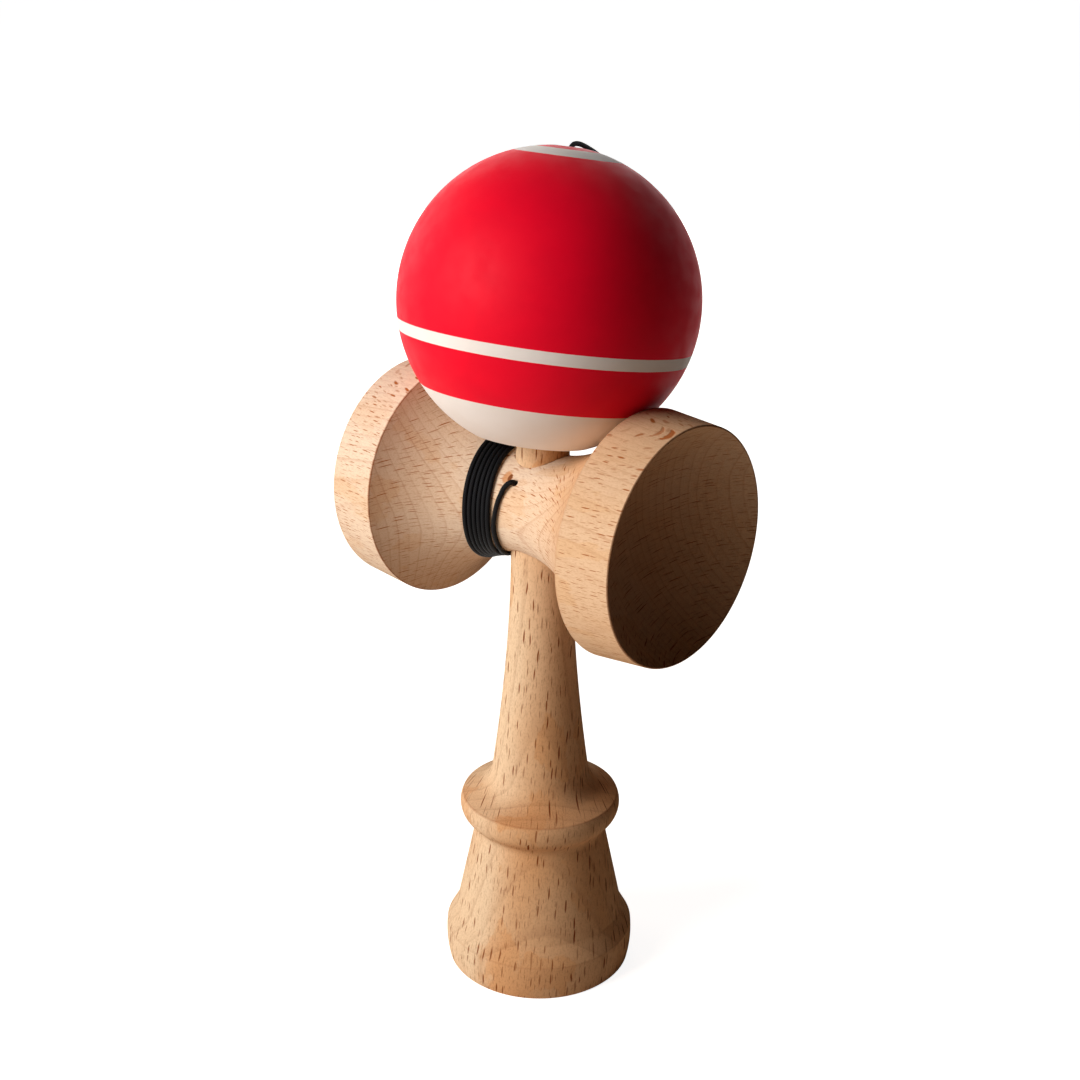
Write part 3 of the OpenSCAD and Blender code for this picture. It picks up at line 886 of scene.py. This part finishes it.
# The torn place's dark core colour is partly torn wood and partly painted shade in its pit.
FLECK, TORN, TORN_CORE_AND_SHADE = srgb(184, 108, 60), srgb(206, 138, 84), srgb(122, 66, 34)
SARADO_MARKS = [((0, 24.41, 33), (2.8, 0.05, 3), 0.7, FLECK),
                ((0, 24.22, 35), (2.9, 0.07, 3), 1.0, FLECK),
                ((-6.4, 9.0, -2.2), (2.0, 1.6, 1.3), 0.8, TORN),
                ((-6.4, 9.0, -1.6), (1.2, 0.9, 0.6), 0.9, TORN_CORE_AND_SHADE)]
# Painted light: the cross-piece is painted paler on its lit left and warmer on its shaded right.
SARADO_PAINTED_SHADE_SIDE = ((1.0, 0.0, 0.0), -8.0, 28.0)
# A strong end-grain tint: partly the darker end grain, partly painted shade in the cups and the steep cove.
SARADO_END_GRAIN_AND_SHADE = (0.66, 0.53, 0.45)

sarado_beech = wood_material("sarado_beech", "YZX", rings=(1.6, 0.24), rays=(0.66, 1.0),
                             end_grain_and_shade=SARADO_END_GRAIN_AND_SHADE, turn=SARADO_GRAIN_TURN, axis_height=SARADO_Z,
                             warm_side=SARADO_PAINTED_SHADE_SIDE, edges=SARADO_EDGES, marks=SARADO_MARKS)
sarado = turn_on_lathe("sarado_turned", sarado_outline, sarado_beech, turn=(0, 90, 0),
                       place=(0, 0, SARADO_Z))


def bore(z):
    return NECK_R + (SPIKE_R - NECK_R) * (z - NECK_Z) / (SPIKE_Z - NECK_Z) + BORE_GAP


sarado = drill(sarado, (0, 0, BORE_FROM), (0, 0, BORE_TO), bore(BORE_FROM), bore(BORE_TO))
hole_end = on_cove(0, STRING_HOLE_ANGLE, DRILL_PAST)
sarado = drill(sarado, (0, 0, SARADO_Z), hole_end, STRING_HOLE_R, STRING_HOLE_R)
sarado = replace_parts(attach(finish_turned(sarado), "handle"), "sarado")

# %% [markdown]
# ## The tama
# The ball is painted satin red, with a white stripe, a white bottom and a white ring round its top. Inside it
# has a wide hole for the spike, a chamber for the bead and a narrow hole for the string, all bare
# wood. The paint is banded by the height along the ball's own leaning axis.

# %% Tama
HOLE_R, MOUTH_R, HOLE_END = 10.4, 11.9, 13.0
CHAMBER_R, CHAMBER_END = 4.5, 21.0
TOP_HOLE_R, COUNTERSINK = 1.5, 1.0
PAINT_RED, RED_SHADE = srgb(240, 0, 38), srgb(188, 0, 30)
PAINT_WHITE, WHITE_SHADE = srgb(240, 230, 222), srgb(232, 218, 206)
STRIPE = (-8.75, -6.36)
BOTTOM_TO = -18.54
TOP_RING = (28.03, 29.33)
PAINT_BLUR, PAINT_RAGGED = 0.05, 0.04
PAINT_SHELL, SHELL_BLUR = 29.7, 0.3
PAINT_BUMP, PAINT_DEPTH = 0.25, 0.03
PEEL, WHITE_STEP = 0.6, 0.5
PAINT_SPECULAR = 0.1
SHEEN, SHEEN_ROUGH, SHEEN_TINT = 0.05, 0.4, (1.0, 0.75, 0.7, 1.0)


def tama_material():
    material, nodes = new_material("tama_paint")
    place = nodes.add("ShaderNodeTexCoord").outputs["Object"]
    upright = nodes.add("ShaderNodeMapping", {"Vector": place, "Location": (0, TAMA_Y * MM, TAMA_Z * MM),
                                              "Rotation": (math.radians(-LEAN), 0, 0)}, vector_type="TEXTURE")
    own = nodes.vector("MULTIPLY", upright.outputs[0], PER_MM)
    ragged = nodes.math("MULTIPLY_ADD", nodes.noise(own, 1.5, 3.0), PAINT_RAGGED, -PAINT_RAGGED / 2)
    height = nodes.math("ADD", nodes.split(own)[2], ragged)

    def above(level):
        return nodes.ramp(height, level - PAINT_BLUR, level + PAINT_BLUR)

    def band(low, high):
        return nodes.math("SUBTRACT", above(low), above(high))

    white = nodes.math("ADD", band(*STRIPE), band(*TOP_RING))
    white = nodes.math("ADD", white, nodes.math("SUBTRACT", 1.0, above(BOTTOM_TO)), clamp=True)
    mottle = nodes.noise(own, 0.12, 3.0)
    red = nodes.mix(nodes.ramp(mottle, 0.35, 0.65, 0.0, 0.12), PAINT_RED, RED_SHADE)
    pale = nodes.mix(nodes.ramp(mottle, 0.35, 0.65, 0.0, 0.3), PAINT_WHITE, WHITE_SHADE)
    paint = nodes.mix(white, red, pale)
    wood = beech_wood(nodes, upright.outputs[0], (2.2, 0.15), (1.0, 0.6), PLAIN_WARMTH, (PALE, WARM, RAY))
    outside = nodes.ramp(nodes.vector("LENGTH", own), PAINT_SHELL - SHELL_BLUR, PAINT_SHELL)
    color = nodes.mix(outside, wood["Color"], paint)
    step = nodes.math("MULTIPLY", white, WHITE_STEP)
    peel = nodes.math("MULTIPLY_ADD", nodes.noise(own, 2.2, 2.0), PEEL, step)
    rough = nodes.ramp(nodes.noise(own, 0.3, 3.0), 0.3, 0.7, 0.5, 0.6)
    surface = add_surface(nodes, color, rough, peel, PAINT_BUMP, PAINT_DEPTH, PAINT_SPECULAR)
    surface.inputs["Sheen Weight"].default_value = SHEEN
    surface.inputs["Sheen Tint"].default_value = SHEEN_TINT
    surface.inputs["Sheen Roughness"].default_value = SHEEN_ROUGH
    return material


mouth_angle = -math.degrees(math.acos(MOUTH_R / TAMA_R))
sink_r = TOP_HOLE_R + COUNTERSINK
sink_angle = math.degrees(math.acos(sink_r / TAMA_R))
sink_height = TAMA_R * math.sin(math.radians(sink_angle))
mouth_height = TAMA_R * math.sin(math.radians(mouth_angle))
tama_outline = [
    (sink_r, sink_height, 0.4), *arc((0, 0), TAMA_R, sink_angle, mouth_angle, 0.8)[1:-1],
    (MOUTH_R, mouth_height, 0.4), (HOLE_R, mouth_height + MOUTH_R - HOLE_R, 0.3), (HOLE_R, HOLE_END, 0.8),
    (CHAMBER_R, HOLE_END, 0.3), (CHAMBER_R, CHAMBER_END, 0.5), (TOP_HOLE_R, CHAMBER_END, 0.2),
    (TOP_HOLE_R, sink_height - COUNTERSINK, 0.3),
]
tama = turn_on_lathe("tama_turned", tama_outline, tama_material(), turn=(-LEAN, 0, 0),
                     place=(0, TAMA_Y, TAMA_Z), closed=True)
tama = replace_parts(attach(finish_turned(tama), "tama"), "tama")

# %% [markdown]
# ## String and bead finishes
# The string is a black nylon braid. Its pattern comes from the tube's UV map: two sets of strands cross over
# each other, and the crossings stand up and are coloured lighter, a painted highlight. The bead is plain pale
# wood.

# %% String and bead
STRANDS = 12.0
STRAND_PITCH = 0.5
# The lighter strand colour is a painted highlight on the raised crossings.
STRING_BLACK, STRAND_HIGHLIGHT = srgb(3, 3, 4), srgb(20, 20, 23)
BRAID_BUMP, BRAID_DEPTH, BRAID_SPECULAR = 0.8, 0.04, 0.1


def string_material():
    material, nodes = new_material("string_braid")
    u, v, _ = nodes.split(nodes.add("ShaderNodeUVMap", uv_map="braid").outputs[0])
    across = nodes.math("MULTIPLY", u, STRANDS * math.pi)
    along = nodes.math("MULTIPLY", v, 2 * math.pi / STRAND_PITCH)
    one = nodes.math("SINE", nodes.math("ADD", across, along))
    other = nodes.math("SINE", nodes.math("SUBTRACT", across, along))
    height = nodes.math("MAXIMUM", one, other)
    # Painted highlight: the raised crossings of the braid are coloured lighter.
    color = nodes.mix(nodes.ramp(height, 0.3, 1.0), STRING_BLACK, STRAND_HIGHLIGHT)
    rough = nodes.ramp(height, -1, 1, 0.75, 0.5)
    add_surface(nodes, color, rough, height, BRAID_BUMP, BRAID_DEPTH, BRAID_SPECULAR)
    return material


braid = string_material()
for piece in (lower_string, upper_string, handle_knot, ball_knot):
    piece.data.materials.append(braid)

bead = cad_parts["tama_bead"]
bead_beech = wood_material("bead_beech", "YXZ", rings=(1.6, 0.15), rays=(0.8, 0.5))
bead.data.materials.clear()
bead.data.materials.append(bead_beech)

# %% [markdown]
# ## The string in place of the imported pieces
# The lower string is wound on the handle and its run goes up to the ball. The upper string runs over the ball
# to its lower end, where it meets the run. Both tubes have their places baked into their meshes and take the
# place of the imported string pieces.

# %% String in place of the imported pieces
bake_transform(lower_string)
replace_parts(lower_string, "string_lead", "string_winding", "string_run")
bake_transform(upper_string)
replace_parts(upper_string, "string_over")
